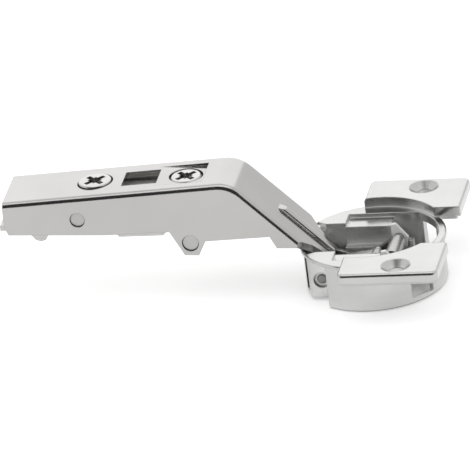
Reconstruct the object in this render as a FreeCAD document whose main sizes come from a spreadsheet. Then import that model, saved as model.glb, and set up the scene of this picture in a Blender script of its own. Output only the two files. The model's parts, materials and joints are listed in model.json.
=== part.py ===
import FreeCAD, Part
import math
import os
import Sketcher

# Concealed hinge for two folding fronts: a die-cast cup, a pressed arm and the links between them.
# Origin: the cup's axis at the face of the front that it is let into. +Z leaves that face,
# the arm runs towards -X, and every turning axis is parallel to Y.

DIMENSIONS = {
    # Cup casting
    "cup_radius": 17.45,
    "cup_depth": 11.6,
    "floor_thick": 1.2,
    "wall_thick": 1.15,
    "collar_lip": 0.7,
    "collar_thick": 0.8,
    "front_slot_half": 8.0,
    "front_slot_mouth": 9.2,
    "slot_step_x": -8.1,
    "side_wall": 3.1,
    "ledge_end_x": 3.2,
    "ledge_inner": 7.9,
    "ledge_top": -0.2,
    "shelf_inner": 7.2,
    "shelf_top": -4.1,
    "step_inner": 5.85,
    "step_top": -4.8,
    "well_rear_x": 8.4,
    "nose_flat": 9.5,
    "nose_end_x": -9.8,
    "nose_step": 0.8,
    "window_start": 28.6,
    "window_end": 51.0,
    "window_top": -1.4,
    "window_bottom": -10.2,
    # Fixing wings of the cup
    "wing_front_x": -4.6,
    "wing_rear_x": 20.4,
    "wing_margin": 5.0,
    "wing_inner": 10.2,
    "wing_set_back": 0.25,
    "wing_top": 3.3,
    "pad_thick": 0.75,
    "pad_inset": 0.9,
    "screw_hole_x": 9.5,
    "screw_spacing": 45.0,
    "screw_hole_radius": 2.05,
    "countersink_radius": 3.75,
    "wing_corner": 1.6,
    "wing_edge": 0.9,
    "collar_edge": 0.35,
    # Pivots: two in the cup, two in the nose of the arm
    "front_pivot_x": -12.0,
    "front_pivot_z": -6.2,
    "rear_pivot_x": 5.0,
    "rear_pivot_z": -3.2,
    "knuckle_x": 0.28,
    "knuckle_z": -5.03,
    "stub_x": -2.40,
    "stub_z": -8.0,
    "front_pin_radius": 1.2,
    "rear_pin_radius": 1.3,
    "knuckle_radius": 1.2,
    "stub_radius": 1.1,
    "running_fit": 0.04,
    "open_pivot_fit": 0.34,
    "front_barrel_radius": 1.85,
    "rear_barrel_radius": 2.0,
    "eye_radius": 1.9,
    "side_play": 0.1,
    "pin_recess": 0.8,
    "pin_set_back": 0.4,
    # Layers across the cup, measured from the middle plane
    "outer_link_half": 1.3,
    "nose_slot_half": 1.4,
    "nose_half": 2.6,
    "leg_inner": 2.9,
    "leg_outer": 4.5,
    "cheek_thick": 1.2,
    "cheek_rear_x": 7.25,
    "cheek_top": 0.45,
    "cheek_seat": -5.6,
    # Arm pressing
    "arm_half": 8.75,
    "sheet": 1.5,
    "arm_edge": 1.4,
    "arm_end_x": -89.6,
    "arm_end_top": 16.82,
    "arm_heel_x": -88.9,
    "arm_heel_z": 8.4,
    "arm_end_low": 10.7,
    "bend_x": -32.36,
    "bend_z": 20.08,
    "bend_radius": 8.0,
    "wall_end_x": -17.2,
    "tip_x": -9.7,
    "tip_z": -3.26,
    "tip_half": 2.6,
    "tongue_waist_x": -14.2,
    "tongue_waist_half": 5.2,
    "skirt_front_x": -22.3,
    "skirt_front_z": 2.5,
    "skirt_step_x": -23.8,
    "skirt_step_z": 5.6,
    "lug_front_x": -39.9,
    "lug_front_z": 5.0,
    "lug_toe_x": -41.9,
    "lug_heel_x": -45.4,
    "lug_bottom": 1.3,
    "lug_rear_x": -48.6,
    "skirt_mid_z": 7.8,
    "skirt_rear_x": -64.5,
    "skirt_rear_z": 7.55,
    "bead_start_x": -22.4,
    "bead_half": 1.3,
    "bead_height": 0.9,
    # Screws and openings in the top of the arm
    "cam_x": -67.5,
    "cam_radius": 4.1,
    "cam_stand": 0.45,
    "cam_neck_radius": 2.1,
    "cam_throw": 2.2,
    "cam_pin_radius": 1.3,
    "drive_long": 5.8,
    "drive_short": 1.3,
    "window_rear_x": -60.3,
    "window_front_x": -51.5,
    "window_half": 3.9,
    "side_screw_x": -44.6,
    "side_screw_radius": 3.9,
    "panel_rear_x": -52.0,
    "panel_front_x": -39.7,
    "panel_half": 5.4,
    "panel_depth": 0.8,
    # Cross pins of the arm
    "rear_cross_x": -71.2,
    "rear_cross_z": 11.9,
    "rear_cross_radius": 1.9,
    "front_cross_x": -43.7,
    "front_cross_z": 4.6,
    "front_cross_radius": 2.1,
    # Tilting bracket and sliding carriage inside the arm
    "bracket_gap": 0.15,
    "bracket_sheet": 1.2,
    "bracket_rear_x": -76.0,
    "bracket_front_x": -39.6,
    "bracket_top": 14.6,
    "bracket_front_top": 15.2,
    "bracket_skirt": 8.7,
    "tilt_travel": 1.0,
    "fork_fit": 0.3,
    "carriage_gap": 0.2,
    "carriage_rear_x": -84.6,
    "carriage_front_x": -49.5,
    "carriage_top": 12.0,
    "carriage_skirt": 7.9,
    "flange_rear_x": -62.0,
    "flange_bottom": 5.6,
    "slide_travel": 1.9,
    # Clip lever at the rear of the carriage
    "lever_pivot_x": -81.0,
    "lever_pivot_z": 9.6,
    "lever_pin_radius": 1.25,
    "ear_gap": 0.15,
    "ear_set_in": 0.25,
    "lever_tail_x": -91.2,
    "lever_hook_x": -81.3,
    "lever_hook_z": 5.7,
    "spring_radius": 2.0,
    "coil_set_in": 1.3,
    "wire": 0.7,
}

NAMES = []
doc = FreeCAD.newDocument("IntermediateHinge")
sheet = doc.addObject("Spreadsheet::Sheet", "Sizes")


class Size:
    """A length and the sheet formula that gives it, kept together."""

    def __init__(self, value, text):
        self.value = float(value)
        self.text = text

    def __add__(self, other):
        other = as_size(other)
        return Size(self.value + other.value, "({} + {})".format(self.text, other.text))

    def __sub__(self, other):
        other = as_size(other)
        return Size(self.value - other.value, "({} - {})".format(self.text, other.text))

    def __mul__(self, other):
        other = as_size(other)
        return Size(self.value * other.value, "({} * {})".format(self.text, other.text))

    def __truediv__(self, other):
        other = as_size(other)
        return Size(self.value / other.value, "({} / {})".format(self.text, other.text))

    def __neg__(self):
        return Size(-self.value, "(0 - {})".format(self.text))

    def root(self):
        """Square root."""
        return Size(self.value ** 0.5, "sqrt({})".format(self.text))


def as_size(number):
    """A plain number as a Size."""
    if isinstance(number, Size):
        return number
    return Size(number, "({:.6f})".format(float(number)))


def cosine(degrees):
    """Cosine of an angle held in the sheet."""
    return Size(math.cos(math.radians(degrees.value)), "cos({})".format(degrees.text))


def sine(degrees):
    """Sine of an angle held in the sheet."""
    return Size(math.sin(math.radians(degrees.value)), "sin({})".format(degrees.text))


def fill_sheet():
    """One row for each driving dimension: its name and its value."""
    for row, (alias, value) in enumerate(DIMENSIONS.items(), start=1):
        sheet.set("A{}".format(row), alias)
        sheet.set("B{}".format(row), str(value))
        sheet.setAlias("B{}".format(row), alias)
    doc.recompute()
    return {alias: Size(value, "Sizes.{}".format(alias)) for alias, value in DIMENSIONS.items()}


def fit_sizes(d):
    """Adds the lengths that follow from the driving ones and a named clearance."""
    d["collar_radius"] = d["cup_radius"] + d["collar_lip"]
    d["cavity_radius"] = d["cup_radius"] - d["wall_thick"]
    d["cavity_half"] = d["cavity_radius"] - d["side_wall"]
    d["wing_inner_radius"] = d["cup_radius"] - d["wing_set_back"]
    d["bracket_half"] = d["arm_half"] - d["sheet"] - d["bracket_gap"]
    d["carriage_half"] = d["bracket_half"] - d["bracket_sheet"] - d["carriage_gap"]
    d["ear_inner"] = d["carriage_half"] + d["ear_gap"]
    d["ear_outer"] = d["arm_half"] - d["sheet"] - d["ear_set_in"]
    d["coil_half"] = d["carriage_half"] - d["bracket_sheet"] - d["coil_set_in"]
    return d


def new_body(label):
    """A named sub-part at the hinge's own origin."""
    body = doc.addObject("PartDesign::Body", "Body")
    body.Label = label
    body.Placement = FreeCAD.Placement()
    NAMES.append(label)
    return body


def new_sketch(body, role, offset=None):
    """A sketch on one of the body's own origin planes, moved along that plane's normal by offset."""
    sketch = body.newObject("Sketcher::SketchObject", "Sketch")
    plane = next(item for item in body.Origin.OriginFeatures if item.Role == role)
    sketch.AttachmentSupport = [(plane, "")]
    sketch.MapMode = "FlatFace"
    if offset is not None:
        sketch.setExpression("AttachmentOffset.Base.z", as_size(offset).text)
    return sketch


def pin_point(sketch, geometry, position, x, y):
    """Ties a point of the sketch to the plane's origin by two driven distances."""
    for kind, size in (("DistanceX", as_size(x)), ("DistanceY", as_size(y))):
        constraint = Sketcher.Constraint(kind, -1, 1, geometry, position, size.value)
        index = sketch.addConstraint(constraint)
        sketch.setExpression("Constraints[{}]".format(index), size.text)


def outline(sketch, points):
    """A closed outline of straight lines through the given points."""
    corners = [(as_size(x), as_size(y)) for x, y in points]
    places = [FreeCAD.Vector(x.value, y.value, 0) for x, y in corners]
    first = sketch.GeometryCount
    count = len(places)
    for index in range(count):
        line = Part.LineSegment(places[index], places[(index + 1) % count])
        sketch.addGeometry(line, False)
    for index in range(count):
        follower = first + (index + 1) % count
        sketch.addConstraint(Sketcher.Constraint("Coincident", first + index, 2, follower, 1))
        pin_point(sketch, first + index, 1, *corners[index])


def circle(sketch, x, y, radius):
    """A circle with a driven centre and radius."""
    x, y, radius = as_size(x), as_size(y), as_size(radius)
    centre = FreeCAD.Vector(x.value, y.value, 0)
    index = sketch.addGeometry(Part.Circle(centre, FreeCAD.Vector(0, 0, 1), radius.value), False)
    pin_point(sketch, index, 3, x, y)
    place = sketch.addConstraint(Sketcher.Constraint("Radius", index, radius.value))
    sketch.setExpression("Constraints[{}]".format(place), radius.text)


def rounded_cavity(sketch, front_x, half, radius):
    """A straight-sided outline whose rear end is an arc about the origin."""
    front_x, half, radius = as_size(front_x), as_size(half), as_size(radius)
    rear = (radius.value ** 2 - half.value ** 2) ** 0.5
    near = FreeCAD.Vector(rear, -half.value, 0)
    far = FreeCAD.Vector(rear, half.value, 0)
    front_near = FreeCAD.Vector(front_x.value, -half.value, 0)
    front_far = FreeCAD.Vector(front_x.value, half.value, 0)
    sketch.addGeometry(Part.LineSegment(front_far, front_near), False)
    sketch.addGeometry(Part.LineSegment(front_near, near), False)
    sketch.addGeometry(Part.Arc(near, FreeCAD.Vector(radius.value, 0, 0), far), False)
    sketch.addGeometry(Part.LineSegment(far, front_far), False)
    joints = ((0, 2, 1, 1), (1, 2, 2, 1), (2, 2, 3, 1), (3, 2, 0, 1))
    for first, first_end, second, second_end in joints:
        sketch.addConstraint(Sketcher.Constraint("Coincident", first, first_end, second, second_end))
    pin_point(sketch, 0, 1, front_x, half)
    pin_point(sketch, 1, 1, front_x, -half)
    pin_point(sketch, 2, 3, 0, 0)
    place = sketch.addConstraint(Sketcher.Constraint("Radius", 2, radius.value))
    sketch.setExpression("Constraints[{}]".format(place), radius.text)
    for position, height in ((1, -half), (2, half)):
        place = sketch.addConstraint(Sketcher.Constraint("DistanceY", -1, 1, 2, position, height.value))
        sketch.setExpression("Constraints[{}]".format(place), height.text)


def pad(body, sketch, length, symmetric=False):
    """Adds the sketch's outline as a solid."""
    feature = body.newObject("PartDesign::Pad", "Pad")
    feature.Profile = sketch
    feature.setExpression("Length", as_size(length).text)
    if symmetric:
        feature.SideType = "Symmetric"
    body.Tip = feature
    return feature


def cut(body, sketch, length, symmetric=False, along=False):
    """Takes the sketch's outline out of the solid, against the plane's normal unless along is set."""
    doc.recompute()
    before = body.Tip.Shape.Volume
    feature = body.newObject("PartDesign::Pocket", "Pocket")
    feature.Profile = sketch
    feature.setExpression("Length", as_size(length).text)
    if symmetric:
        feature.SideType = "Symmetric"
    feature.Reversed = along
    body.Tip = feature
    doc.recompute()
    if feature.Shape.Volume > before - 1e-3:
        raise RuntimeError("{}: a pocket cuts nothing".format(body.Label))
    return feature


def dress(body, kind, name, size, chosen):
    """Rounds or bevels the edges of the body's tip that the test picks."""
    doc.recompute()
    base = body.Tip
    edges = ["Edge{}".format(index) for index, edge in enumerate(base.Shape.Edges, start=1) if chosen(edge)]
    if not edges:
        raise RuntimeError("{}: no edge to dress".format(body.Label))
    feature = body.newObject("PartDesign::" + kind, kind)
    feature.Base = (base, edges)
    feature.setExpression(name, as_size(size).text)
    body.Tip = feature
    doc.recompute()
    return feature


def near(value, target, slack=0.02):
    """True when two lengths agree."""
    return abs(value - target) <= slack


def cross_pin(label, x, z, radius, half):
    """A plain pin across the hinge, symmetric about its middle plane."""
    body = new_body(label)
    sketch = new_sketch(body, "XZ_Plane")
    circle(sketch, x, z, radius)
    pad(body, sketch, as_size(half) * 2, symmetric=True)
    dress(body, "Chamfer", "Size", 0.15, lambda edge: near(edge.BoundBox.YLength, 0))
    return body


def side_pin(label, x, z, radius, inner, outer, side):
    """A short pin on one side only. Side is 1 for near, which is towards -Y, and -1 for far."""
    body = new_body(label)
    start, depth = as_size(inner), as_size(outer) - inner
    sketch = new_sketch(body, "XZ_Plane", start if side > 0 else -as_size(outer))
    circle(sketch, x, z, radius)
    pad(body, sketch, depth)
    dress(body, "Chamfer", "Size", 0.12, lambda edge: near(edge.BoundBox.YLength, 0))
    return body


def cup_casting(d):
    """Cup, collar and both fixing wings: one die casting with its pin holes and side windows."""
    body = new_body("cup_body")
    nose_bottom = d["nose_step"] - d["cup_depth"]
    half_span = d["screw_spacing"] / 2 + d["wing_margin"]
    base = new_sketch(body, "XY_Plane", -d["cup_depth"])
    circle(base, 0, 0, d["cup_radius"])
    pad(body, base, d["cup_depth"] + d["collar_thick"])
    dress(body, "Fillet", "Radius", 0.8, lambda edge: near(edge.BoundBox.ZMax, -DIMENSIONS["cup_depth"]))
    rim_width = d["collar_radius"].value * 2
    collar = new_sketch(body, "XY_Plane")
    circle(collar, 0, 0, d["collar_radius"])
    pad(body, collar, d["collar_thick"])
    dress(body, "Fillet", "Radius", d["collar_edge"], lambda edge: (
        near(edge.BoundBox.ZMin, DIMENSIONS["collar_thick"]) and near(edge.BoundBox.XLength, rim_width)))

    far_edge = d["cup_radius"] + 2
    wings = new_sketch(body, "XY_Plane", d["pad_thick"])
    feet = new_sketch(body, "XY_Plane")
    for side in (1, -1):
        outline(wings, [
            (d["wing_front_x"], d["wing_inner"] * side),
            (d["wing_rear_x"], d["wing_inner"] * side),
            (d["wing_rear_x"], half_span * side),
            (d["wing_front_x"], half_span * side),
        ])
        outline(feet, [
            (d["wing_front_x"] + d["pad_inset"], d["wing_inner"] * side),
            (d["wing_rear_x"] - d["pad_inset"], d["wing_inner"] * side),
            (d["wing_rear_x"] - d["pad_inset"], (half_span - d["pad_inset"]) * side),
            (d["wing_front_x"] + d["pad_inset"], (half_span - d["pad_inset"]) * side),
        ])
    pad(body, wings, d["wing_top"] - d["pad_thick"])
    pad(body, feet, d["wing_top"] - d["pad_thick"] / 2)
    span = half_span.value
    dress(body, "Fillet", "Radius", d["wing_corner"], lambda edge: (
        near(edge.BoundBox.XLength, 0) and near(edge.BoundBox.YLength, 0)
        and near(abs(edge.BoundBox.YMin), span) and edge.BoundBox.ZMax > 3))
    top = DIMENSIONS["wing_top"]
    dress(body, "Fillet", "Radius", d["wing_edge"], lambda edge: (
        near(edge.BoundBox.ZMin, top) and near(max(abs(edge.BoundBox.YMin), abs(edge.BoundBox.YMax)), span)))
    clearing = new_sketch(body, "XY_Plane", d["collar_thick"])
    circle(clearing, 0, 0, d["wing_inner_radius"])
    cut(body, clearing, d["wing_top"], along=True)

    flats = new_sketch(body, "XY_Plane")
    for side in (1, -1):
        outline(flats, [
            (d["nose_end_x"], d["nose_flat"] * side),
            (d["nose_end_x"], far_edge * side),
            (-far_edge, far_edge * side),
            (-far_edge, d["nose_flat"] * side),
        ])
    cut(body, flats, d["cup_depth"] + 1)
    underside = new_sketch(body, "XY_Plane", nose_bottom)
    outline(underside, [
        (d["nose_end_x"], -far_edge), (d["nose_end_x"], far_edge), (-far_edge, far_edge), (-far_edge, -far_edge),
    ])
    cut(body, underside, d["cup_depth"])

    well_floor = d["floor_thick"] - d["cup_depth"]
    cavity = new_sketch(body, "XY_Plane", d["collar_thick"])
    rounded_cavity(cavity, d["slot_step_x"], d["cavity_half"], d["cavity_radius"])
    cut(body, cavity, d["collar_thick"] - well_floor)
    slot = new_sketch(body, "XY_Plane", d["collar_thick"])
    mouth_x = -d["cavity_radius"] + 1.1
    outline(slot, [
        (d["slot_step_x"] + 0.5, -d["front_slot_half"]),
        (d["slot_step_x"] + 0.5, d["front_slot_half"]),
        (-d["cavity_radius"], d["front_slot_half"]),
        (-d["cavity_radius"], -d["front_slot_half"]),
    ])
    cut(body, slot, d["collar_thick"] - nose_bottom - d["floor_thick"])
    mouth = new_sketch(body, "XY_Plane", d["collar_thick"])
    for side in (1, -1):
        outline(mouth, [
            (d["front_pivot_x"] - 0.4, (d["front_slot_half"] - 0.3) * side),
            (mouth_x, d["front_slot_mouth"] * side),
            (mouth_x - 0.6, (d["front_slot_half"] - 0.3) * side),
        ])
    cut(body, mouth, d["collar_thick"] * 2)

    side_wall = d["cavity_half"] + 0.3
    ledges = new_sketch(body, "XY_Plane", well_floor - d["floor_thick"] / 2)
    shelves = new_sketch(body, "XY_Plane", well_floor - d["floor_thick"] / 2)
    steps = new_sketch(body, "XY_Plane", well_floor - d["floor_thick"] / 2)
    step_end_x = d["rear_pivot_x"] - d["rear_barrel_radius"] - 0.4
    for side in (1, -1):
        outline(ledges, [
            (d["slot_step_x"] - 0.3, d["ledge_inner"] * side),
            (d["ledge_end_x"], d["ledge_inner"] * side),
            (d["ledge_end_x"], side_wall * side),
            (d["slot_step_x"] - 0.3, side_wall * side),
        ])
        outline(shelves, [
            (step_end_x, d["shelf_inner"] * side),
            (d["well_rear_x"], d["shelf_inner"] * side),
            (d["well_rear_x"], (d["ledge_inner"] + 1.4) * side),
            (step_end_x, (d["ledge_inner"] + 1.4) * side),
        ])
        outline(steps, [
            (d["slot_step_x"] - 0.3, d["step_inner"] * side),
            (step_end_x, d["step_inner"] * side),
            (step_end_x, (d["ledge_inner"] + 1.4) * side),
            (d["slot_step_x"] - 0.3, (d["ledge_inner"] + 1.4) * side),
        ])
    pad(body, ledges, d["ledge_top"] - well_floor + d["floor_thick"] / 2)
    pad(body, shelves, d["shelf_top"] - well_floor + d["floor_thick"] / 2)
    pad(body, steps, d["step_top"] - well_floor + d["floor_thick"] / 2)
    seats = new_sketch(body, "XY_Plane", d["shelf_top"])
    for side in (1, -1):
        outline(seats, [
            (d["ledge_end_x"], (d["shelf_inner"] - 0.2) * side),
            (d["cheek_rear_x"] + 0.1, (d["shelf_inner"] - 0.2) * side),
            (d["cheek_rear_x"] + 0.1, (d["shelf_inner"] + d["cheek_thick"]) * side),
            (d["ledge_end_x"], (d["shelf_inner"] + d["cheek_thick"]) * side),
        ])
    cut(body, seats, d["shelf_top"] - d["cheek_seat"])

    windows = new_sketch(body, "XY_Plane", d["window_top"])
    inner, outer = d["cavity_radius"] - 2, d["cup_radius"] + 2
    for side in (1, -1):
        start, end = d["window_start"] * side, d["window_end"] * side
        outline(windows, [
            (inner * cosine(start), inner * sine(start)),
            (outer * cosine(start), outer * sine(start)),
            (outer * cosine(end), outer * sine(end)),
            (inner * cosine(end), inner * sine(end)),
        ])
    cut(body, windows, d["window_top"] - d["window_bottom"])

    pin_hole = new_sketch(body, "XZ_Plane")
    circle(pin_hole, d["front_pivot_x"], d["front_pivot_z"], d["front_pin_radius"])
    cut(body, pin_hole, d["nose_flat"] * 2 + 2, symmetric=True)
    for offset in (d["nose_flat"] + 0.5, d["pin_recess"] - d["nose_flat"]):
        rim = new_sketch(body, "XZ_Plane", offset)
        circle(rim, d["front_pivot_x"], d["front_pivot_z"], d["front_pin_radius"] + 0.8)
        cut(body, rim, d["pin_recess"] + 0.5)

    screw_holes = new_sketch(body, "XY_Plane", d["wing_top"])
    for side in (1, -1):
        circle(screw_holes, d["screw_hole_x"], d["screw_spacing"] / 2 * side, d["screw_hole_radius"])
    cut(body, screw_holes, d["wing_top"] + 1)
    dress(body, "Chamfer", "Size", d["countersink_radius"] - d["screw_hole_radius"], lambda edge: (
        near(edge.BoundBox.ZMin, top) and near(edge.BoundBox.XLength, 2 * DIMENSIONS["screw_hole_radius"])))
    return body


def bearing_cheek(label, side, d):
    """Moulded bearing plate that carries one end of the rear pin and stands on the cup's shelf."""
    body = new_body(label)
    inner = d["shelf_inner"] + 0.02
    outer = d["shelf_inner"] + d["cheek_thick"] - 0.04
    sketch = new_sketch(body, "XZ_Plane", inner if side > 0 else -outer)
    outline(sketch, [
        (d["ledge_end_x"], d["cheek_seat"]),
        (d["cheek_rear_x"] - 0.3, d["cheek_seat"]),
        (d["cheek_rear_x"], d["rear_pivot_z"]),
        (d["rear_pivot_x"] - 0.6, d["cheek_top"]),
        (d["ledge_end_x"], d["cheek_top"] - 0.2),
    ])
    pad(body, sketch, outer - inner)
    hole = new_sketch(body, "XZ_Plane")
    circle(hole, d["rear_pivot_x"], d["rear_pivot_z"], d["rear_pin_radius"])
    cut(body, hole, outer * 2 + 2, symmetric=True)
    return body


def outer_link(d):
    """Middle link from the front cup pin to the knuckle pin, with a wide barrel on the front pin."""
    body = new_body("outer_link")
    barrel = new_sketch(body, "XZ_Plane")
    circle(barrel, d["front_pivot_x"], d["front_pivot_z"], d["front_barrel_radius"])
    pad(body, barrel, (d["front_slot_half"] - d["side_play"] * 2) * 2, symmetric=True)
    eye = new_sketch(body, "XZ_Plane")
    circle(eye, d["knuckle_x"], d["knuckle_z"], d["eye_radius"])
    pad(body, eye, d["outer_link_half"] * 2, symmetric=True)
    web = new_sketch(body, "XZ_Plane")
    outline(web, [
        (d["front_pivot_x"], d["front_pivot_z"] + d["front_barrel_radius"] * 0.75),
        (d["knuckle_x"], d["knuckle_z"] + d["eye_radius"] * 0.95),
        (d["knuckle_x"], d["knuckle_z"] - d["eye_radius"] * 0.95),
        (d["front_pivot_x"], d["front_pivot_z"] - d["front_barrel_radius"] * 0.95),
    ])
    pad(body, web, d["outer_link_half"] * 2, symmetric=True)
    holes = new_sketch(body, "XZ_Plane")
    circle(holes, d["front_pivot_x"], d["front_pivot_z"], d["front_pin_radius"] + d["running_fit"])
    circle(holes, d["knuckle_x"], d["knuckle_z"], d["knuckle_radius"] + d["running_fit"])
    cut(body, holes, d["front_slot_half"] * 2 + 2, symmetric=True)
    return body


def inner_link(d):
    """Forked link from the rear cup pin to the two stub pins in the arm's nose."""
    body = new_body("inner_link")
    barrel = new_sketch(body, "XZ_Plane")
    circle(barrel, d["rear_pivot_x"], d["rear_pivot_z"], d["rear_barrel_radius"])
    pad(body, barrel, (d["leg_outer"] + d["side_play"]) * 2, symmetric=True)
    run_x = d["rear_pivot_x"] - d["stub_x"]
    run_z = d["rear_pivot_z"] - d["stub_z"]
    length = (run_x * run_x + run_z * run_z).root()
    for side in (1, -1):
        start = d["leg_inner"] if side > 0 else -d["leg_outer"]
        eye = new_sketch(body, "XZ_Plane", start)
        circle(eye, d["stub_x"], d["stub_z"], d["eye_radius"])
        pad(body, eye, d["leg_outer"] - d["leg_inner"])
        leg = new_sketch(body, "XZ_Plane", start)
        over_x, over_z = -run_z / length * d["eye_radius"], run_x / length * d["eye_radius"]
        outline(leg, [
            (d["rear_pivot_x"] + over_x, d["rear_pivot_z"] + over_z),
            (d["rear_pivot_x"] - over_x, d["rear_pivot_z"] - over_z),
            (d["stub_x"] - over_x, d["stub_z"] - over_z),
            (d["stub_x"] + over_x, d["stub_z"] + over_z),
        ])
        pad(body, leg, d["leg_outer"] - d["leg_inner"])
    holes = new_sketch(body, "XZ_Plane")
    circle(holes, d["rear_pivot_x"], d["rear_pivot_z"], d["rear_pin_radius"] + d["running_fit"])
    circle(holes, d["stub_x"], d["stub_z"], d["stub_radius"] + d["open_pivot_fit"])
    cut(body, holes, d["front_slot_half"] * 2 + 2, symmetric=True)
    return body


def arm_lines(d):
    """Heights of the arm's flat top and of its slope, with the slope's length factor."""
    rise = (d["bend_z"] - d["arm_end_top"]) / (d["bend_x"] - d["arm_end_x"])
    fall = (d["tip_z"] - d["bend_z"]) / (d["tip_x"] - d["bend_x"])
    factor = (fall * fall + 1).root()

    def flat(x):
        return d["bend_z"] + rise * (as_size(x) - d["bend_x"])

    def slope(x):
        return d["bend_z"] + fall * (as_size(x) - d["bend_x"])

    return flat, slope, rise, fall, factor


def hinge_arm(d):
    """Pressed channel arm: flat rear, bend, slope with a bead, tongue and forked nose."""
    body = new_body("hinge_arm")
    flat, slope, rise, fall, factor = arm_lines(d)
    thick = d["sheet"]
    under = thick * factor
    tip_under_x = d["tip_x"] + thick * fall / factor
    tip_under_z = d["tip_z"] - thick / factor
    side = new_sketch(body, "XZ_Plane")
    outline(side, [
        (d["arm_end_x"], d["arm_end_top"]),
        (d["bend_x"], d["bend_z"]),
        (d["tip_x"], d["tip_z"]),
        (tip_under_x, tip_under_z),
        (d["wall_end_x"], slope(d["wall_end_x"]) - under),
        (d["skirt_front_x"], d["skirt_front_z"]),
        (d["skirt_step_x"], d["skirt_step_z"]),
        (d["lug_front_x"], d["lug_front_z"]),
        (d["lug_toe_x"], d["lug_bottom"]),
        (d["lug_heel_x"], d["lug_bottom"] + 0.2),
        (d["lug_rear_x"], d["skirt_mid_z"]),
        (d["skirt_rear_x"], d["skirt_rear_z"]),
        (d["arm_heel_x"], d["arm_heel_z"]),
        (d["arm_end_x"] - 0.2, d["arm_end_low"]),
    ])
    pad(body, side, d["arm_half"] * 2, symmetric=True)
    dress(body, "Fillet", "Radius", d["bend_radius"], lambda edge: (
        near(edge.BoundBox.XLength, 0) and near(edge.BoundBox.ZLength, 0)
        and near(edge.BoundBox.XMin, DIMENSIONS["bend_x"])))
    half = DIMENSIONS["arm_half"]

    def top_edge(edge):
        box = edge.BoundBox
        if not (near(box.YLength, 0) and near(abs(box.YMin), half)):
            return False
        middle = edge.valueAt((edge.FirstParameter + edge.LastParameter) / 2)
        level = flat(middle.x).value if middle.x < DIMENSIONS["bend_x"] else slope(middle.x).value
        return middle.z > level - 1.0 and box.XLength > 2

    dress(body, "Fillet", "Radius", d["arm_edge"], top_edge)

    panel = new_sketch(body, "XZ_Plane")
    outline(panel, [
        (d["panel_rear_x"], flat(d["panel_rear_x"]) - thick / 2),
        (d["panel_front_x"] + 0.8, flat(d["panel_front_x"]) - thick / 2),
        (d["panel_front_x"] + 0.8, flat(d["panel_front_x"]) - thick - d["panel_depth"]),
        (d["panel_front_x"], flat(d["panel_front_x"]) - thick - d["panel_depth"]),
        (d["panel_rear_x"], flat(d["panel_rear_x"]) - thick),
    ])

    inner_shift = -(thick * (factor - 1)) / (rise - fall)
    inside = new_sketch(body, "XZ_Plane")
    outline(inside, [
        (d["arm_end_x"] - 2, flat(d["arm_end_x"] - 2) - thick),
        (d["bend_x"] + inner_shift, flat(d["bend_x"] + inner_shift) - thick),
        (d["tip_x"] + 2, slope(d["tip_x"] + 2) - under),
        (d["tip_x"] + 2, -d["cup_depth"]),
        (d["arm_end_x"] - 2, -d["cup_depth"]),
    ])
    cut(body, inside, (d["arm_half"] - thick) * 2, symmetric=True)
    inner_bend = inner_shift.value + DIMENSIONS["bend_x"]
    dress(body, "Fillet", "Radius", d["bend_radius"] - thick, lambda edge: (
        near(edge.BoundBox.XLength, 0) and near(edge.BoundBox.ZLength, 0)
        and near(edge.BoundBox.XMin, inner_bend)))

    trim = new_sketch(body, "XY_Plane", d["bend_z"])
    for hand in (1, -1):
        outline(trim, [
            (d["wall_end_x"], (d["arm_half"] + 1) * hand),
            (d["wall_end_x"], d["arm_half"] * hand),
            (d["tongue_waist_x"], d["tongue_waist_half"] * hand),
            (d["tip_x"], d["tip_half"] * hand),
            (d["tip_x"] + 2, d["tip_half"] * hand),
            (d["tip_x"] + 2, (d["arm_half"] + 1) * hand),
        ])
    cut(body, trim, d["bend_z"] * 2)

    nose = new_sketch(body, "XZ_Plane")
    outline(nose, [
        (tip_under_x - 0.2, tip_under_z + 0.3),
        (d["tip_x"] + 0.15, tip_under_z - 1.1),
        (d["tip_x"] + 0.4, tip_under_z - 3.0),
        (d["stub_x"] - d["eye_radius"] * 0.37, d["stub_z"] - d["eye_radius"] * 0.92),
        (d["stub_x"] + d["eye_radius"] * 0.74, d["stub_z"] - d["eye_radius"] * 0.67),
        (d["knuckle_x"] + d["eye_radius"] * 0.74, d["knuckle_z"] - d["eye_radius"] * 0.67),
        (d["knuckle_x"], d["knuckle_z"] + d["eye_radius"]),
        (d["stub_x"] - 0.6, d["knuckle_z"] + 0.6),
        (d["stub_x"] - 3.6, d["knuckle_z"] + 0.6),
        (d["tip_x"], d["tip_z"]),
    ])
    pad(body, nose, d["nose_half"] * 2, symmetric=True)
    eyes = new_sketch(body, "XZ_Plane")
    circle(eyes, d["knuckle_x"], d["knuckle_z"], d["eye_radius"])
    circle(eyes, d["stub_x"], d["stub_z"], d["eye_radius"])
    pad(body, eyes, d["nose_half"] * 2, symmetric=True)
    fork = new_sketch(body, "XZ_Plane")
    outline(fork, [
        (tip_under_x - 6, slope(tip_under_x - 6) - under),
        (tip_under_x, tip_under_z),
        (d["tip_x"] + 0.02, d["tip_z"] + 0.02),
        (d["tip_x"] + 0.02, d["collar_thick"]),
        (d["rear_pivot_x"], d["collar_thick"]),
        (d["rear_pivot_x"], -d["cup_depth"]),
        (tip_under_x - 6, -d["cup_depth"]),
    ])
    cut(body, fork, d["nose_slot_half"] * 2, symmetric=True)
    pivots = new_sketch(body, "XZ_Plane")
    circle(pivots, d["knuckle_x"], d["knuckle_z"], d["knuckle_radius"])
    circle(pivots, d["stub_x"], d["stub_z"], d["stub_radius"])
    cut(body, pivots, d["nose_half"] * 2 + 1, symmetric=True)

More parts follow.
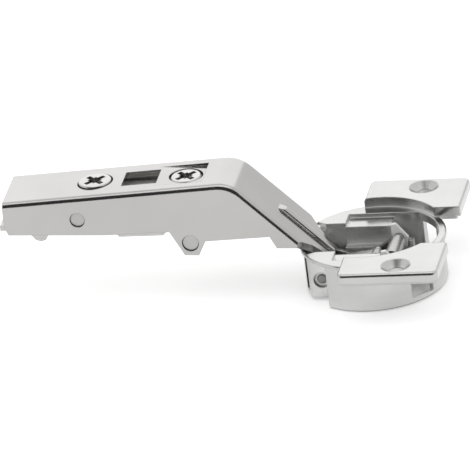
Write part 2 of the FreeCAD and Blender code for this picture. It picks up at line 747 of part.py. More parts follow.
    pad(body, panel, d["panel_half"] * 2, symmetric=True)
    sunk = new_sketch(body, "XZ_Plane")
    outline(sunk, [
        (d["panel_rear_x"], flat(d["panel_rear_x"])),
        (d["panel_rear_x"], flat(d["panel_rear_x"]) + 1),
        (d["panel_front_x"], flat(d["panel_front_x"]) + 1),
        (d["panel_front_x"], flat(d["panel_front_x"]) - d["panel_depth"]),
    ])
    cut(body, sunk, d["panel_half"] * 2, symmetric=True)

    lift_x, lift_z = -fall * d["bead_height"] / factor, d["bead_height"] / factor
    bead = new_sketch(body, "XZ_Plane")
    outline(bead, [
        (d["bead_start_x"], slope(d["bead_start_x"]) - 0.3),
        (d["bead_start_x"], slope(d["bead_start_x"])),
        (d["bead_start_x"] + 1.2 + lift_x, slope(d["bead_start_x"] + 1.2) + lift_z),
        (d["tip_x"] - 0.6 + lift_x, slope(d["tip_x"] - 0.6) + lift_z),
        (d["tip_x"], d["tip_z"]),
        (d["tip_x"] - 0.3, d["tip_z"]),
    ])
    pad(body, bead, d["bead_half"] * 2, symmetric=True)
    crest = DIMENSIONS["bead_half"]
    dress(body, "Fillet", "Radius", d["bead_height"] * 0.8, lambda edge: (
        near(edge.BoundBox.YLength, 0) and near(abs(edge.BoundBox.YMin), crest) and edge.BoundBox.XLength > 5
        and edge.BoundBox.ZMax > slope(edge.BoundBox.XMin).value + 0.2))

    top_holes = new_sketch(body, "XY_Plane", d["bend_z"] + 2)
    circle(top_holes, d["cam_x"], 0, d["cam_radius"] + 0.35)
    circle(top_holes, d["side_screw_x"], 0, d["side_screw_radius"] + 0.35)
    outline(top_holes, [
        (d["window_rear_x"], -d["window_half"]),
        (d["window_front_x"], -d["window_half"]),
        (d["window_front_x"], d["window_half"]),
        (d["window_rear_x"], d["window_half"]),
    ])
    cut(body, top_holes, 8)
    cross_holes = new_sketch(body, "XZ_Plane")
    circle(cross_holes, d["rear_cross_x"], d["rear_cross_z"], d["rear_cross_radius"])
    circle(cross_holes, d["front_cross_x"], d["front_cross_z"], d["front_cross_radius"])
    cut(body, cross_holes, d["arm_half"] * 2 + 2, symmetric=True)
    return body


def tilt_bracket(d):
    """Inner channel that tilts on the rear cross pins and rides the front cross pin in open forks."""
    body = new_body("tilt_bracket")
    fork_x, fork_z = d["front_cross_x"], d["front_cross_z"]
    reach = d["front_cross_radius"] + d["fork_fit"]
    side = new_sketch(body, "XZ_Plane")
    outline(side, [
        (d["bracket_rear_x"], d["bracket_top"]),
        (d["bracket_front_x"], d["bracket_front_top"]),
        (d["bracket_front_x"], fork_z + 2.4),
        (fork_x + reach + 0.8, fork_z - 0.6),
        (fork_x - reach - 0.9, fork_z - 0.9),
        (fork_x - 5.2, d["bracket_skirt"]),
        (d["bracket_rear_x"], d["bracket_skirt"]),
    ])
    pad(body, side, d["bracket_half"] * 2, symmetric=True)
    web = d["bracket_sheet"]
    inside = new_sketch(body, "XZ_Plane")
    outline(inside, [
        (d["bracket_rear_x"] - 1, d["bracket_top"] - web),
        (d["bracket_front_x"] + 1, d["bracket_front_top"] - web),
        (d["bracket_front_x"] + 1, -1),
        (d["bracket_rear_x"] - 1, -1),
    ])
    cut(body, inside, (d["bracket_half"] - web) * 2, symmetric=True)
    slots = new_sketch(body, "XZ_Plane")
    outline(slots, [
        (fork_x - reach, -1),
        (fork_x + reach, -1),
        (fork_x + reach, fork_z + d["tilt_travel"] + reach),
        (fork_x - reach, fork_z + d["tilt_travel"] + reach),
    ])
    cut(body, slots, d["bracket_half"] * 2 + 2, symmetric=True)
    pivots = new_sketch(body, "XZ_Plane")
    circle(pivots, d["rear_cross_x"], d["rear_cross_z"], d["rear_cross_radius"] + d["running_fit"])
    cut(body, pivots, d["bracket_half"] * 2 + 2, symmetric=True)
    openings = new_sketch(body, "XY_Plane", d["bend_z"])
    circle(openings, d["cam_x"], 0, d["cam_neck_radius"] + 0.1)
    circle(openings, d["side_screw_x"], 0, d["side_screw_radius"] / 2 + 0.1)
    outline(openings, [
        (d["window_rear_x"] - 0.6, -d["window_half"] - 0.3),
        (d["window_front_x"] + 0.6, -d["window_half"] - 0.3),
        (d["window_front_x"] + 0.6, d["window_half"] + 0.3),
        (d["window_rear_x"] - 0.6, d["window_half"] + 0.3),
    ])
    cut(body, openings, 10)
    return body


def web_top(d, x):
    """Height of the bracket's web at x."""
    rise = (d["bracket_front_top"] - d["bracket_top"]) / (d["bracket_front_x"] - d["bracket_rear_x"])
    return d["bracket_top"] + rise * (x - d["bracket_rear_x"])


def screw_placement(d, x):
    """Stands a screw square to the bracket's web, with its own zero on the web's top."""
    run = d["bracket_front_x"] - d["bracket_rear_x"]
    rise = (d["bracket_front_top"] - d["bracket_top"]) / run
    turn = FreeCAD.Rotation(FreeCAD.Vector(0, 1, 0), -math.degrees(math.atan(rise.value)))
    return FreeCAD.Placement(FreeCAD.Vector(x.value, 0, web_top(d, x).value), turn)


def drive_recess(body, height, d):
    """Cross recess for a screwdriver, cut into the head with its arms at 45 degrees to the hinge."""
    diagonal = 0.5 ** 0.5
    arms = ((d["drive_long"], d["drive_short"], 1.1), (d["drive_short"], d["drive_long"], 1.1),
            (d["drive_short"] * 2, d["drive_short"] * 2, 1.8))
    for long_side, short_side, deep in arms:
        ahead, across = (long_side + short_side) / 2 * diagonal, (long_side - short_side) / 2 * diagonal
        recess = new_sketch(body, "XY_Plane", height)
        outline(recess, [(-across, -ahead), (ahead, across), (across, ahead), (-ahead, -across)])
        cut(body, recess, deep)


def depth_cam_screw(d):
    """Depth screw: a broad head over the bracket's web and an eccentric pin below it."""
    body = new_body("depth_cam_screw")
    flat = arm_lines(d)[0]
    head = flat(d["cam_x"]) + d["cam_stand"] - web_top(d, d["cam_x"])
    gap = 0.08
    disc = new_sketch(body, "XY_Plane", gap)
    circle(disc, 0, 0, d["cam_radius"])
    pad(body, disc, head - gap)
    dress(body, "Fillet", "Radius", 0.35, lambda edge: edge.BoundBox.ZMin > 2)
    neck = new_sketch(body, "XY_Plane", -d["bracket_sheet"] - 1.0)
    circle(neck, 0, 0, d["cam_neck_radius"])
    pad(body, neck, d["bracket_sheet"] + 1.0 + gap + 0.1)
    throw = new_sketch(body, "XY_Plane", -d["bracket_sheet"] - 1.3)
    circle(throw, 0, 0, d["cam_throw"] + d["cam_pin_radius"] + 0.2)
    pad(body, throw, 0.4)
    pin = new_sketch(body, "XY_Plane", -d["bracket_sheet"] - 2.9)
    circle(pin, 0, d["cam_throw"], d["cam_pin_radius"])
    pad(body, pin, 1.6)
    drive_recess(body, head, d)
    body.Placement = screw_placement(d, d["cam_x"])
    return body


def side_adjust_screw(d):
    """Side screw: a threaded plug in the arm's panel, held to the bracket's web by its foot."""
    body = new_body("side_adjust_screw")
    flat = arm_lines(d)[0]
    sunk = d["panel_depth"] * (d["side_screw_x"] - d["panel_rear_x"]) / (d["panel_front_x"] - d["panel_rear_x"])
    head = flat(d["side_screw_x"]) - sunk - web_top(d, d["side_screw_x"])
    gap = 0.1
    plug = new_sketch(body, "XY_Plane", gap)
    circle(plug, 0, 0, d["side_screw_radius"])
    pad(body, plug, head - gap)
    dress(body, "Chamfer", "Size", 0.35, lambda edge: edge.BoundBox.ZMin > 2)
    neck = new_sketch(body, "XY_Plane", -d["bracket_sheet"] - 0.2)
    circle(neck, 0, 0, d["side_screw_radius"] / 2)
    pad(body, neck, d["bracket_sheet"] + 0.2 + gap + 0.1)
    foot = new_sketch(body, "XY_Plane", -d["bracket_sheet"] - 1.0)
    circle(foot, 0, 0, d["side_screw_radius"] * 0.75)
    pad(body, foot, 0.85)
    drive_recess(body, head, d)
    body.Placement = screw_placement(d, d["side_screw_x"])
    return body


def cam_washer(d):
    """Ring pressed on the depth screw's neck under the bracket's web, which it holds."""
    body = new_body("cam_washer")
    ring = new_sketch(body, "XY_Plane", -d["bracket_sheet"] - 0.8)
    circle(ring, 0, 0, d["cam_neck_radius"] + 1.3)
    circle(ring, 0, 0, d["cam_neck_radius"])
    pad(body, ring, 0.7)
    body.Placement = screw_placement(d, d["cam_x"])
    return body


def clip_carriage(d):
    """Sliding channel that clips to the mounting plate, moved along the bracket by the depth screw."""
    body = new_body("clip_carriage")
    side = new_sketch(body, "XZ_Plane")
    outline(side, [
        (d["carriage_rear_x"], d["carriage_top"]),
        (d["carriage_front_x"], d["carriage_top"]),
        (d["carriage_front_x"], d["flange_bottom"] + 1.4),
        (d["carriage_front_x"] - 1.4, d["flange_bottom"]),
        (d["flange_rear_x"], d["flange_bottom"]),
        (d["flange_rear_x"] - 1.8, d["carriage_skirt"]),
        (d["carriage_rear_x"] + 1.5, d["carriage_skirt"]),
        (d["carriage_rear_x"], d["carriage_skirt"] + 1.5),
    ])
    pad(body, side, d["carriage_half"] * 2, symmetric=True)
    web = d["bracket_sheet"]
    inside = new_sketch(body, "XZ_Plane")
    outline(inside, [
        (d["carriage_rear_x"] - 1, d["carriage_top"] - web),
        (d["carriage_front_x"] + 1, d["carriage_top"] - web),
        (d["carriage_front_x"] + 1, d["flange_bottom"] - 1),
        (d["carriage_rear_x"] - 1, d["flange_bottom"] - 1),
    ])
    cut(body, inside, (d["carriage_half"] - web) * 2, symmetric=True)
    cam_slot = new_sketch(body, "XY_Plane", d["carriage_top"])
    reach = d["cam_pin_radius"] + 0.2
    outline(cam_slot, [
        (d["cam_x"] - reach, -1), (d["cam_x"] + reach, -1),
        (d["cam_x"] + reach, d["cam_throw"] + reach), (d["cam_x"] - reach, d["cam_throw"] + reach),
    ])
    coil_room = d["spring_radius"] + 0.4
    outline(cam_slot, [
        (d["lever_pivot_x"] - coil_room, -d["coil_half"] - 0.3),
        (d["lever_pivot_x"] + coil_room, -d["coil_half"] - 0.3),
        (d["lever_pivot_x"] + coil_room, d["coil_half"] + 0.3),
        (d["lever_pivot_x"] - coil_room, d["coil_half"] + 0.3),
    ])
    cut(body, cam_slot, web + 1)
    pin_hole = new_sketch(body, "XZ_Plane")
    circle(pin_hole, d["lever_pivot_x"], d["lever_pivot_z"], d["lever_pin_radius"])
    cut(body, pin_hole, d["carriage_half"] * 2 + 2, symmetric=True)
    return body


def clip_lever(d):
    """Catch at the rear: a tail plate to press, and an ear with a rounded hook at each side."""
    body = new_body("clip_lever")
    pivot_x, pivot_z = d["lever_pivot_x"], d["lever_pivot_z"]
    hook_x, hook_z = d["lever_hook_x"], d["lever_hook_z"]
    side = new_sketch(body, "XZ_Plane")
    outline(side, [
        (d["lever_tail_x"], pivot_z - 0.7),
        (d["lever_tail_x"], pivot_z + 0.6),
        (pivot_x - 4.2, pivot_z + 0.8),
        (pivot_x - 1.2, pivot_z + 2.0),
        (pivot_x + 1.2, pivot_z + 2.0),
        (pivot_x + 2.0, pivot_z + 1.2),
        (pivot_x + 2.0, pivot_z - 1.6),
        (hook_x + 1.3, hook_z + 0.4),
        (hook_x, hook_z),
        (hook_x - 1.3, hook_z + 0.4),
        (hook_x - 2.2, hook_z + 1.6),
        (hook_x - 3.4, pivot_z - 0.7),
    ])
    pad(body, side, d["ear_outer"] * 2, symmetric=True)
    gap = new_sketch(body, "XZ_Plane")
    outline(gap, [
        (pivot_x - 4.2, hook_z - 1),
        (pivot_x + 3, hook_z - 1),
        (pivot_x + 3, pivot_z + 3),
        (pivot_x - 4.2, pivot_z + 3),
    ])
    cut(body, gap, d["ear_inner"] * 2, symmetric=True)
    hole = new_sketch(body, "XZ_Plane")
    circle(hole, pivot_x, pivot_z, d["lever_pin_radius"] + d["running_fit"])
    cut(body, hole, d["ear_outer"] * 2 + 2, symmetric=True)
    return body


def lever_spring(d):
    """Torsion spring on the lever's pin, drawn as its ribbed coil."""
    body = new_body("lever_spring")
    half = d["coil_half"]
    core = new_sketch(body, "XZ_Plane")
    circle(core, d["lever_pivot_x"], d["lever_pivot_z"], d["spring_radius"] - 0.25)
    circle(core, d["lever_pivot_x"], d["lever_pivot_z"], d["lever_pin_radius"] + 0.08)
    pad(body, core, half * 2, symmetric=True)
    turn = new_sketch(body, "XZ_Plane", -half)
    circle(turn, d["lever_pivot_x"], d["lever_pivot_z"], d["spring_radius"])
    circle(turn, d["lever_pivot_x"], d["lever_pivot_z"], d["spring_radius"] - 0.4)
    first = pad(body, turn, d["wire"])
    turns = body.newObject("PartDesign::LinearPattern", "Turns")
    turns.Originals = [first]
    turns.Direction = (turn, ["N_Axis"])
    turns.setExpression("Length", (half * 2 - d["wire"]).text)
    turns.Occurrences = 5
    body.Tip = turns
    return body


def build():
    """All sub-parts, in the order that the hinge goes together."""
    d = fit_sizes(fill_sheet())
    cup_casting(d)
    cross_pin("front_cup_pin", d["front_pivot_x"], d["front_pivot_z"], d["front_pin_radius"],
              d["nose_flat"] - d["pin_recess"] + 0.2)
    cross_pin("rear_cup_pin", d["rear_pivot_x"], d["rear_pivot_z"], d["rear_pin_radius"],
              d["shelf_inner"] + d["cheek_thick"] - 0.1)
    bearing_cheek("near_bearing_cheek", 1, d)
    bearing_cheek("far_bearing_cheek", -1, d)
    outer_link(d)
    inner_link(d)
    hinge_arm(d)
    cross_pin("knuckle_pin", d["knuckle_x"], d["knuckle_z"], d["knuckle_radius"], d["nose_half"])
    for label, side in (("near_stub_pin", 1), ("far_stub_pin", -1)):
        side_pin(label, d["stub_x"], d["stub_z"], d["stub_radius"], d["nose_slot_half"], d["leg_outer"], side)
    for label, side in (("near_rear_rivet", 1), ("far_rear_rivet", -1)):
        side_pin(label, d["rear_cross_x"], d["rear_cross_z"], d["rear_cross_radius"],
                 d["bracket_half"] - d["bracket_sheet"], d["arm_half"] - d["pin_set_back"], side)
    cross_pin("front_cross_pin", d["front_cross_x"], d["front_cross_z"], d["front_cross_radius"],
              d["arm_half"] - d["pin_set_back"])
    tilt_bracket(d)
    side_adjust_screw(d)
    depth_cam_screw(d)
    cam_washer(d)
    clip_carriage(d)
    cross_pin("lever_pin", d["lever_pivot_x"], d["lever_pivot_z"], d["lever_pin_radius"], d["ear_outer"])
    clip_lever(d)
    lever_spring(d)
    doc.recompute()


def write_parts():
    """Checks every object and sub-part, then writes one file for each sub-part."""
    for item in doc.Objects:
        if "Invalid" in item.State or "Error" in item.State:
            raise RuntimeError("{} ({}) did not build: {}".format(item.Name, item.Label, item.State))
    bodies = {item.Label: item for item in doc.Objects if item.Label in NAMES}
    os.makedirs("parts", exist_ok=True)
    for label in NAMES:
        shape = bodies[label].Shape
        if shape.isNull() or not shape.isValid() or len(shape.Solids) != 1:
            raise RuntimeError("{} isn't one valid solid".format(label))
        shape.exportStep("parts/{}.step".format(label))
        print(label, len(shape.Solids), round(shape.Volume, 1))


build()
write_parts()
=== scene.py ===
import json
import math
from collections import namedtuple

import bpy
from mathutils import Matrix, Vector


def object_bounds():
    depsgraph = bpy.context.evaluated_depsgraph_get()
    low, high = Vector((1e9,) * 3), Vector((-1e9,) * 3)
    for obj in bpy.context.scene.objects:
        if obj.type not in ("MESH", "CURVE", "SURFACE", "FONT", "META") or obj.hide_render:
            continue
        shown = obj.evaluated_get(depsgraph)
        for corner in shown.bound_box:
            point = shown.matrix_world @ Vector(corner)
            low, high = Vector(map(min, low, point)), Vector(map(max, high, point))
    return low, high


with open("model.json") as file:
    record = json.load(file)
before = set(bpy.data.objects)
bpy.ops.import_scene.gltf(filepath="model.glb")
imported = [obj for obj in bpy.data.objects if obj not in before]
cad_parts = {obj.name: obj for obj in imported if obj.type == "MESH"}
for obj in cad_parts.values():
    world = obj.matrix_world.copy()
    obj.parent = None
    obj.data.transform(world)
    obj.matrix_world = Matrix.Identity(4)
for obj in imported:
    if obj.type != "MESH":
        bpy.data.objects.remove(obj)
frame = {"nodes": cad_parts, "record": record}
CAD_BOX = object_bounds()

MM = 0.001
MICRON = 0.000001

# View of the photograph: its side in pixels, angles in degrees and the origin's pixel
IMAGE = 470
AZIMUTH, ELEVATION, ROLL = 12.71, 24.41, -7.28
PIXELS_PER_MM = 4.08
ORIGIN_PIXEL = (373.10, 239.07)
DISTANCE = 3.0
SENSOR = 36.0
CLIP_NEAR, CLIP_FAR = 0.05, 50

# Finishes: noise scales in cycles a metre, lengths in metres
NOISE_LOW, NOISE_HIGH = 0.3, 0.7
METAL_CLOUD, MOULDED_CLOUD = 60, 90
CLOUD_DETAIL = 3
METAL_DETAIL, MOULDED_DETAIL = 5, 4
GRAIN_ROUGHNESS = 0.6
EDGE_SAMPLES = 6
SMOOTH_BELOW = 32

# Hollows: how far an opposite wall counts, and the open share where each look begins. Their tones are
# painted shade and painted light.
HOLLOW_REACH = 12 * MM
HOLLOW_SAMPLES = 8
DULL_BELOW, BRIGHT_ABOVE = 0.2, 0.72
SHADE_AND_LIGHT_PLACES = (0.12, 0.4, 0.7)
# Rough and metallic set the plating of hollows; the tones multiply the colour there as painted shade and
# painted light.
Hollow = namedtuple("Hollow", "rough metallic tones")

# Stage, in metres
DAYLIGHT = 0.95
FLOOR_GAP = 0.1 * MM
FLOOR_HALF = 6
FLOOR_TONE = 0.76
FLOOR_GLOW = 0.42


def camera_axes():
    """Right, up and forward of the photograph's view, in the row frame."""
    a, e, r = (math.radians(v) for v in (AZIMUTH, ELEVATION, ROLL))
    right = Vector((math.cos(a), math.sin(a), 0))
    forward = Vector((-math.sin(a) * math.cos(e), math.cos(a) * math.cos(e), -math.sin(e)))
    up = right.cross(forward)
    return (right * math.cos(r) + up * math.sin(r), up * math.cos(r) - right * math.sin(r), forward)


def make_camera():
    right, up, forward = camera_axes()
    data = bpy.data.cameras.new("camera")
    camera = bpy.data.objects.new("camera", data)
    bpy.context.scene.collection.objects.link(camera)
    across = (IMAGE / 2 - ORIGIN_PIXEL[0]) / PIXELS_PER_MM * MM
    above = (ORIGIN_PIXEL[1] - IMAGE / 2) / PIXELS_PER_MM * MM
    turn = Matrix((right, up, -forward)).transposed()
    place = right * across + up * above - forward * DISTANCE
    camera.matrix_world = Matrix.Translation(place) @ turn.to_4x4()
    data.sensor_width = SENSOR
    data.lens = PIXELS_PER_MM / MM * DISTANCE / IMAGE * SENSOR
    data.clip_start, data.clip_end = CLIP_NEAR, CLIP_FAR
    bpy.context.scene.camera = camera


def new_material(name):
    material = bpy.data.materials.new(name)
    material.use_nodes = True
    tree = material.node_tree
    return material, tree, tree.nodes["Principled BSDF"]


def noise(tree, scale, detail, roughness=0.5, stretch=None):
    """Noise in the row frame, with its scale in cycles a metre, stretched along one axis if asked."""
    coordinates = tree.nodes.new("ShaderNodeTexCoord")
    mapping = tree.nodes.new("ShaderNodeMapping")
    mapping.inputs["Scale"].default_value = stretch or (1, 1, 1)
    texture = tree.nodes.new("ShaderNodeTexNoise")
    texture.inputs["Scale"].default_value = scale
    texture.inputs["Detail"].default_value = detail
    texture.inputs["Roughness"].default_value = roughness
    tree.links.new(coordinates.outputs["Object"], mapping.inputs["Vector"])
    tree.links.new(mapping.outputs["Vector"], texture.inputs["Vector"])
    return texture.outputs["Fac"]


def spread(tree, source, low, high):
    """Maps the middle of a noise to low..high."""
    node = tree.nodes.new("ShaderNodeMapRange")
    node.inputs["From Min"].default_value = NOISE_LOW
    node.inputs["From Max"].default_value = NOISE_HIGH
    node.inputs["To Min"].default_value = low
    node.inputs["To Max"].default_value = high
    tree.links.new(source, node.inputs["Value"])
    return node.outputs["Result"]


def tint(tree, source, first, second):
    """Colour between first and second."""
    node = tree.nodes.new("ShaderNodeMix")
    node.data_type = "RGBA"
    node.inputs["A"].default_value = (*first, 1)
    node.inputs["B"].default_value = (*second, 1)
    tree.links.new(source, node.inputs["Factor"])
    return node.outputs["Result"]


def relief(tree, shader, source, height, edge):
    """Bump of that height in metres, over edges softened to that radius."""
    bump = tree.nodes.new("ShaderNodeBump")
    bump.inputs["Strength"].default_value = 1.0
    bump.inputs["Distance"].default_value = height
    tree.links.new(source, bump.inputs["Height"])
    bevel = tree.nodes.new("ShaderNodeBevel")
    bevel.samples = EDGE_SAMPLES
    bevel.inputs["Radius"].default_value = edge
    tree.links.new(bevel.outputs["Normal"], bump.inputs["Normal"])
    tree.links.new(bump.outputs["Normal"], shader.inputs["Normal"])


def by_openness(tree, openness, dull, bright):
    """A level that goes from dull in hollows to bright, a constant or a socket, in the open."""
    level = tree.nodes.new("ShaderNodeMapRange")
    level.inputs["From Min"].default_value = DULL_BELOW
    level.inputs["From Max"].default_value = BRIGHT_ABOVE
    level.inputs["To Min"].default_value = dull
    if isinstance(bright, float):
        level.inputs["To Max"].default_value = bright
    else:
        tree.links.new(bright, level.inputs["To Max"])
    tree.links.new(openness, level.inputs["Value"])
    return level.outputs["Result"]


def paint_hollow_shade_and_light(tree, openness, colour, tones):
    """Painted shade and light in hollows: the colour times a tone for deep hollows, one for shallow ones
    and one for open faces.
    """
    ramp = tree.nodes.new("ShaderNodeValToRGB")
    ramp.color_ramp.elements.new(0.5)
    for element, place, painted_tone in zip(ramp.color_ramp.elements, SHADE_AND_LIGHT_PLACES, tones):
        element.position = place
        element.color = (painted_tone, painted_tone, painted_tone, 1)
    product = tree.nodes.new("ShaderNodeMix")
    product.data_type = "RGBA"
    product.blend_type = "MULTIPLY"
    product.inputs["Factor"].default_value = 1.0
    tree.links.new(openness, ramp.inputs["Fac"])
    tree.links.new(colour, product.inputs["A"])
    tree.links.new(ramp.outputs["Color"], product.inputs["B"])
    return product.outputs["Result"]


def metal(name, light, dark, rough, grain, height, edge, stretch=None, metallic=1.0, hollow=None):
    """Plated or bare metal, with the roughness, metallic share and painted shade and light of its
    hollows if they differ from its open faces.
    """
    material, tree, shader = new_material(name)
    fine = noise(tree, grain, METAL_DETAIL, GRAIN_ROUGHNESS, stretch)
    cloud = noise(tree, METAL_CLOUD, CLOUD_DETAIL)
    colour = tint(tree, spread(tree, cloud, 0, 1), dark, light)
    roughness = spread(tree, fine, *rough)
    if hollow:
        shelter = tree.nodes.new("ShaderNodeAmbientOcclusion")
        shelter.samples = HOLLOW_SAMPLES
        shelter.inputs["Distance"].default_value = HOLLOW_REACH
        openness = shelter.outputs["AO"]
        # Painted shade and painted light: the colour is darkened or lightened by how enclosed the
        # surface is.
        colour = paint_hollow_shade_and_light(tree, openness, colour, hollow.tones)
        roughness = by_openness(tree, openness, hollow.rough, roughness)
        tree.links.new(by_openness(tree, openness, hollow.metallic, metallic), shader.inputs["Metallic"])
    else:
        shader.inputs["Metallic"].default_value = metallic
    tree.links.new(colour, shader.inputs["Base Color"])
    tree.links.new(roughness, shader.inputs["Roughness"])
    relief(tree, shader, fine, height, edge)
    return material


def moulded(name, light, dark, rough, grain, height, edge):
    material, tree, shader = new_material(name)
    fine = noise(tree, grain, MOULDED_DETAIL, GRAIN_ROUGHNESS)
    cloud = noise(tree, MOULDED_CLOUD, CLOUD_DETAIL)
    tree.links.new(tint(tree, spread(tree, cloud, 0, 1), dark, light), shader.inputs["Base Color"])
    tree.links.new(spread(tree, fine, *rough), shader.inputs["Roughness"])
    relief(tree, shader, fine, height, edge)
    return material


def make_materials():
    """One material for each slot of the record, by the slot's name."""
    metals = {
        "plated_casting": dict(
            light=(0.52, 0.52, 0.512), dark=(0.475, 0.475, 0.468), rough=(0.17, 0.22),
            grain=900, height=1.2 * MICRON, edge=0.45 * MM, metallic=0.95,
            # The hollow tones paint shade into deep hollows and paint light into shallow ones.
            hollow=Hollow(rough=0.45, metallic=0.35, tones=(0.2, 1.6, 1.0))),
        "plated_arm": dict(
            light=(0.455, 0.45, 0.44), dark=(0.425, 0.42, 0.41), rough=(0.14, 0.19),
            grain=1200, height=0.5 * MICRON, edge=0.3 * MM, metallic=0.96),
        "plated_bracket": dict(
            light=(0.56, 0.555, 0.54), dark=(0.50, 0.495, 0.48), rough=(0.35, 0.45),
            grain=1200, height=2 * MICRON, edge=0.12 * MM, metallic=0.9,
            # The hollow tones paint light into the hollows, lighter than the open faces.
            hollow=Hollow(rough=0.6, metallic=0.0, tones=(1.6, 1.5, 1.0))),
        "link_steel": dict(
            light=(0.56, 0.555, 0.54), dark=(0.50, 0.495, 0.48), rough=(0.22, 0.34),
            grain=1500, height=3 * MICRON, edge=0.12 * MM,
            # The hollow tones paint shade into the hollows; open faces take 0.75 of the colour.
            hollow=Hollow(rough=0.5, metallic=0.6, tones=(0.15, 0.3, 0.75))),
        "pin_steel": dict(
            light=(0.48, 0.48, 0.47), dark=(0.42, 0.42, 0.41), rough=(0.34, 0.42),
            grain=1800, height=2 * MICRON, edge=0.1 * MM, stretch=(0.15, 1, 1),
            # The hollow tones paint shade into the hollows.
            hollow=Hollow(rough=0.5, metallic=0.6, tones=(0.15, 0.3, 1.0))),
        "screw_steel": dict(
            light=(0.52, 0.515, 0.505), dark=(0.47, 0.465, 0.455), rough=(0.14, 0.22),
            grain=1500, height=2 * MICRON, edge=0.1 * MM),
        "spring_steel": dict(
            light=(0.42, 0.42, 0.42), dark=(0.34, 0.34, 0.34), rough=(0.3, 0.4),
            grain=2000, height=3 * MICRON, edge=0.08 * MM),
    }
    made = {name: metal(name, **finish) for name, finish in metals.items()}
    made["grey_moulding"] = moulded(
        "grey_moulding", light=(0.74, 0.74, 0.73), dark=(0.69, 0.69, 0.68), rough=(0.45, 0.6),
        grain=2500, height=6 * MICRON, edge=0.15 * MM)
    return made


def smoothing(degrees):
    """A modifier's node group that shades smooth across edges less sharp than the angle."""
    group = bpy.data.node_groups.new("smooth_by_angle", "GeometryNodeTree")
    group.interface.new_socket(name="Geometry", in_out="INPUT", socket_type="NodeSocketGeometry")
    group.interface.new_socket(name="Geometry", in_out="OUTPUT", socket_type="NodeSocketGeometry")
    start, end = group.nodes.new("NodeGroupInput"), group.nodes.new("NodeGroupOutput")
    angle = group.nodes.new("GeometryNodeInputMeshEdgeAngle")
    sharp = group.nodes.new("FunctionNodeCompare")
    sharp.operation = "LESS_THAN"
    sharp.inputs["B"].default_value = math.radians(degrees)
    edges = group.nodes.new("GeometryNodeSetShadeSmooth")
    edges.domain = "EDGE"
    faces = group.nodes.new("GeometryNodeSetShadeSmooth")
    group.links.new(angle.outputs["Unsigned Angle"], sharp.inputs["A"])
    group.links.new(sharp.outputs["Result"], edges.inputs["Shade Smooth"])
    group.links.new(start.outputs["Geometry"], edges.inputs["Geometry"])
    group.links.new(edges.outputs["Geometry"], faces.inputs["Geometry"])
    group.links.new(faces.outputs["Geometry"], end.inputs["Geometry"])
    return group


def dress_nodes(materials):
    """Gives each CAD node the finish of its slot and a smooth shading of its curved faces."""
    slots = {part["node"]: part["material_slot"] for part in frame["record"]["subparts"]}
    group = smoothing(SMOOTH_BELOW)
    for name, obj in frame["nodes"].items():
        obj.data.materials.clear()
        obj.data.materials.append(materials[slots[name]])
        obj.modifiers.new("smooth_by_angle", "NODES").node_group = group


def shown_share(tree):
    """1 for rays from the camera and for mirrored or refracted ones, 0 for the rest."""
    path = tree.nodes.new("ShaderNodeLightPath")
    total = path.outputs["Is Camera Ray"]
    for name in ("Is Glossy Ray", "Is Transmission Ray"):
        node = tree.nodes.new("ShaderNodeMath")
        node.operation = "MAXIMUM"
        tree.links.new(total, node.inputs[0])
        tree.links.new(path.outputs[name], node.inputs[1])
        total = node.outputs[0]
    return total


def make_world(daylight):
    world = bpy.data.worlds.new("studio")
    bpy.context.scene.world = world
    world.use_nodes = True
    tree = world.node_tree
    background = tree.nodes["Background"]
    background.inputs["Color"].default_value = (1, 1, 1, 1)
    level = tree.nodes.new("ShaderNodeMapRange")
    level.inputs["To Min"].default_value = daylight
    level.inputs["To Max"].default_value = 1.0
    tree.links.new(shown_share(tree), level.inputs["Value"])
    tree.links.new(level.outputs["Result"], background.inputs["Strength"])


def plane(name, centre, across, along):
    """A rectangle about its centre, spanned by two half-side vectors."""
    centre, across, along = Vector(centre), Vector(across), Vector(along)
    near, far = centre - along, centre + along
    corners = [near - across, near + across, far + across, far - across]
    mesh = bpy.data.meshes.new(name)
    mesh.from_pydata(corners, [], [(0, 1, 2, 3)])
    obj = bpy.data.objects.new(name, mesh)
    bpy.context.scene.collection.objects.link(obj)
    return obj


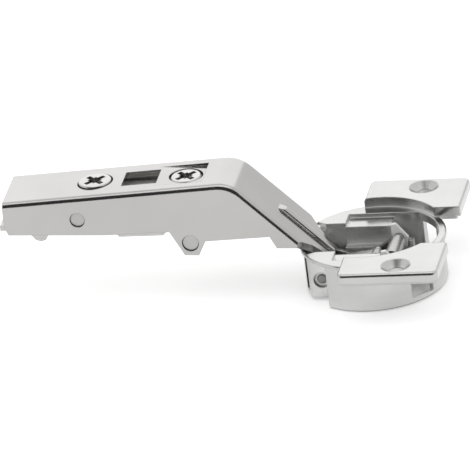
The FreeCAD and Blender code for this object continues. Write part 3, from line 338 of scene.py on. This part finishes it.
def make_floor():
    lowest = CAD_BOX[0].z - FLOOR_GAP
    floor = plane("floor", (0, 0, lowest), (FLOOR_HALF, 0, 0), (0, FLOOR_HALF, 0))
    material, tree, shader = new_material("floor")
    shader.inputs["Base Color"].default_value = (FLOOR_TONE, FLOOR_TONE, FLOOR_TONE, 1)
    shader.inputs["Roughness"].default_value = 1.0
    shader.inputs["Specular IOR Level"].default_value = 0.0
    shader.inputs["Emission Color"].default_value = (1, 1, 1, 1)
    glow = tree.nodes.new("ShaderNodeMapRange")
    glow.inputs["To Max"].default_value = FLOOR_GLOW
    tree.links.new(shown_share(tree), glow.inputs["Value"])
    tree.links.new(glow.outputs["Result"], shader.inputs["Emission Strength"])
    floor.data.materials.append(material)


def card(name, azimuth, elevation, width, height, distance, strength):
    """A studio card that faces the object, near black at low strength. Only reflections show it."""
    a, e = math.radians(azimuth), math.radians(elevation)
    back = Vector((math.sin(a) * math.cos(e), -math.cos(a) * math.cos(e), math.sin(e)))
    across = Vector((math.cos(a), math.sin(a), 0))
    along = back.cross(across)
    obj = plane(name, back * distance, across * (width / 2), along * (height / 2))
    material = bpy.data.materials.new(name)
    material.use_nodes = True
    tree = material.node_tree
    tree.nodes.remove(tree.nodes["Principled BSDF"])
    glow = tree.nodes.new("ShaderNodeEmission")
    glow.inputs["Color"].default_value = (1, 1, 1, 1)
    glow.inputs["Strength"].default_value = strength
    tree.links.new(glow.outputs["Emission"], tree.nodes["Material Output"].inputs["Surface"])
    obj.data.materials.append(material)
    obj.visible_camera = False
    obj.visible_diffuse = False
    obj.visible_shadow = False


def lamp(name, place, size, power):
    data = bpy.data.lights.new(name, "AREA")
    data.shape = "DISK"
    data.size = size
    data.energy = power
    obj = bpy.data.objects.new(name, data)
    bpy.context.scene.collection.objects.link(obj)
    obj.location = place
    obj.rotation_mode = "QUATERNION"
    obj.rotation_quaternion = (-Vector(place)).to_track_quat("-Z", "Y")
    obj.visible_glossy = False


def make_stage():
    make_world(DAYLIGHT)
    make_floor()
    lamp("key", place=(-0.4, -0.5, 1.3), size=1.4, power=4.0)
    card("black_card", azimuth=0, elevation=33, width=2.6, height=1.5, distance=1.1, strength=0.015)
    card("back_light", azimuth=194, elevation=27, width=1.25, height=0.75, distance=1.2, strength=1.57)
    card("top_light", azimuth=20, elevation=84, width=1.2, height=0.5, distance=1.3, strength=1.8)


make_camera()
dress_nodes(make_materials())
make_stage()
bpy.context.scene.view_settings.view_transform = "Standard"
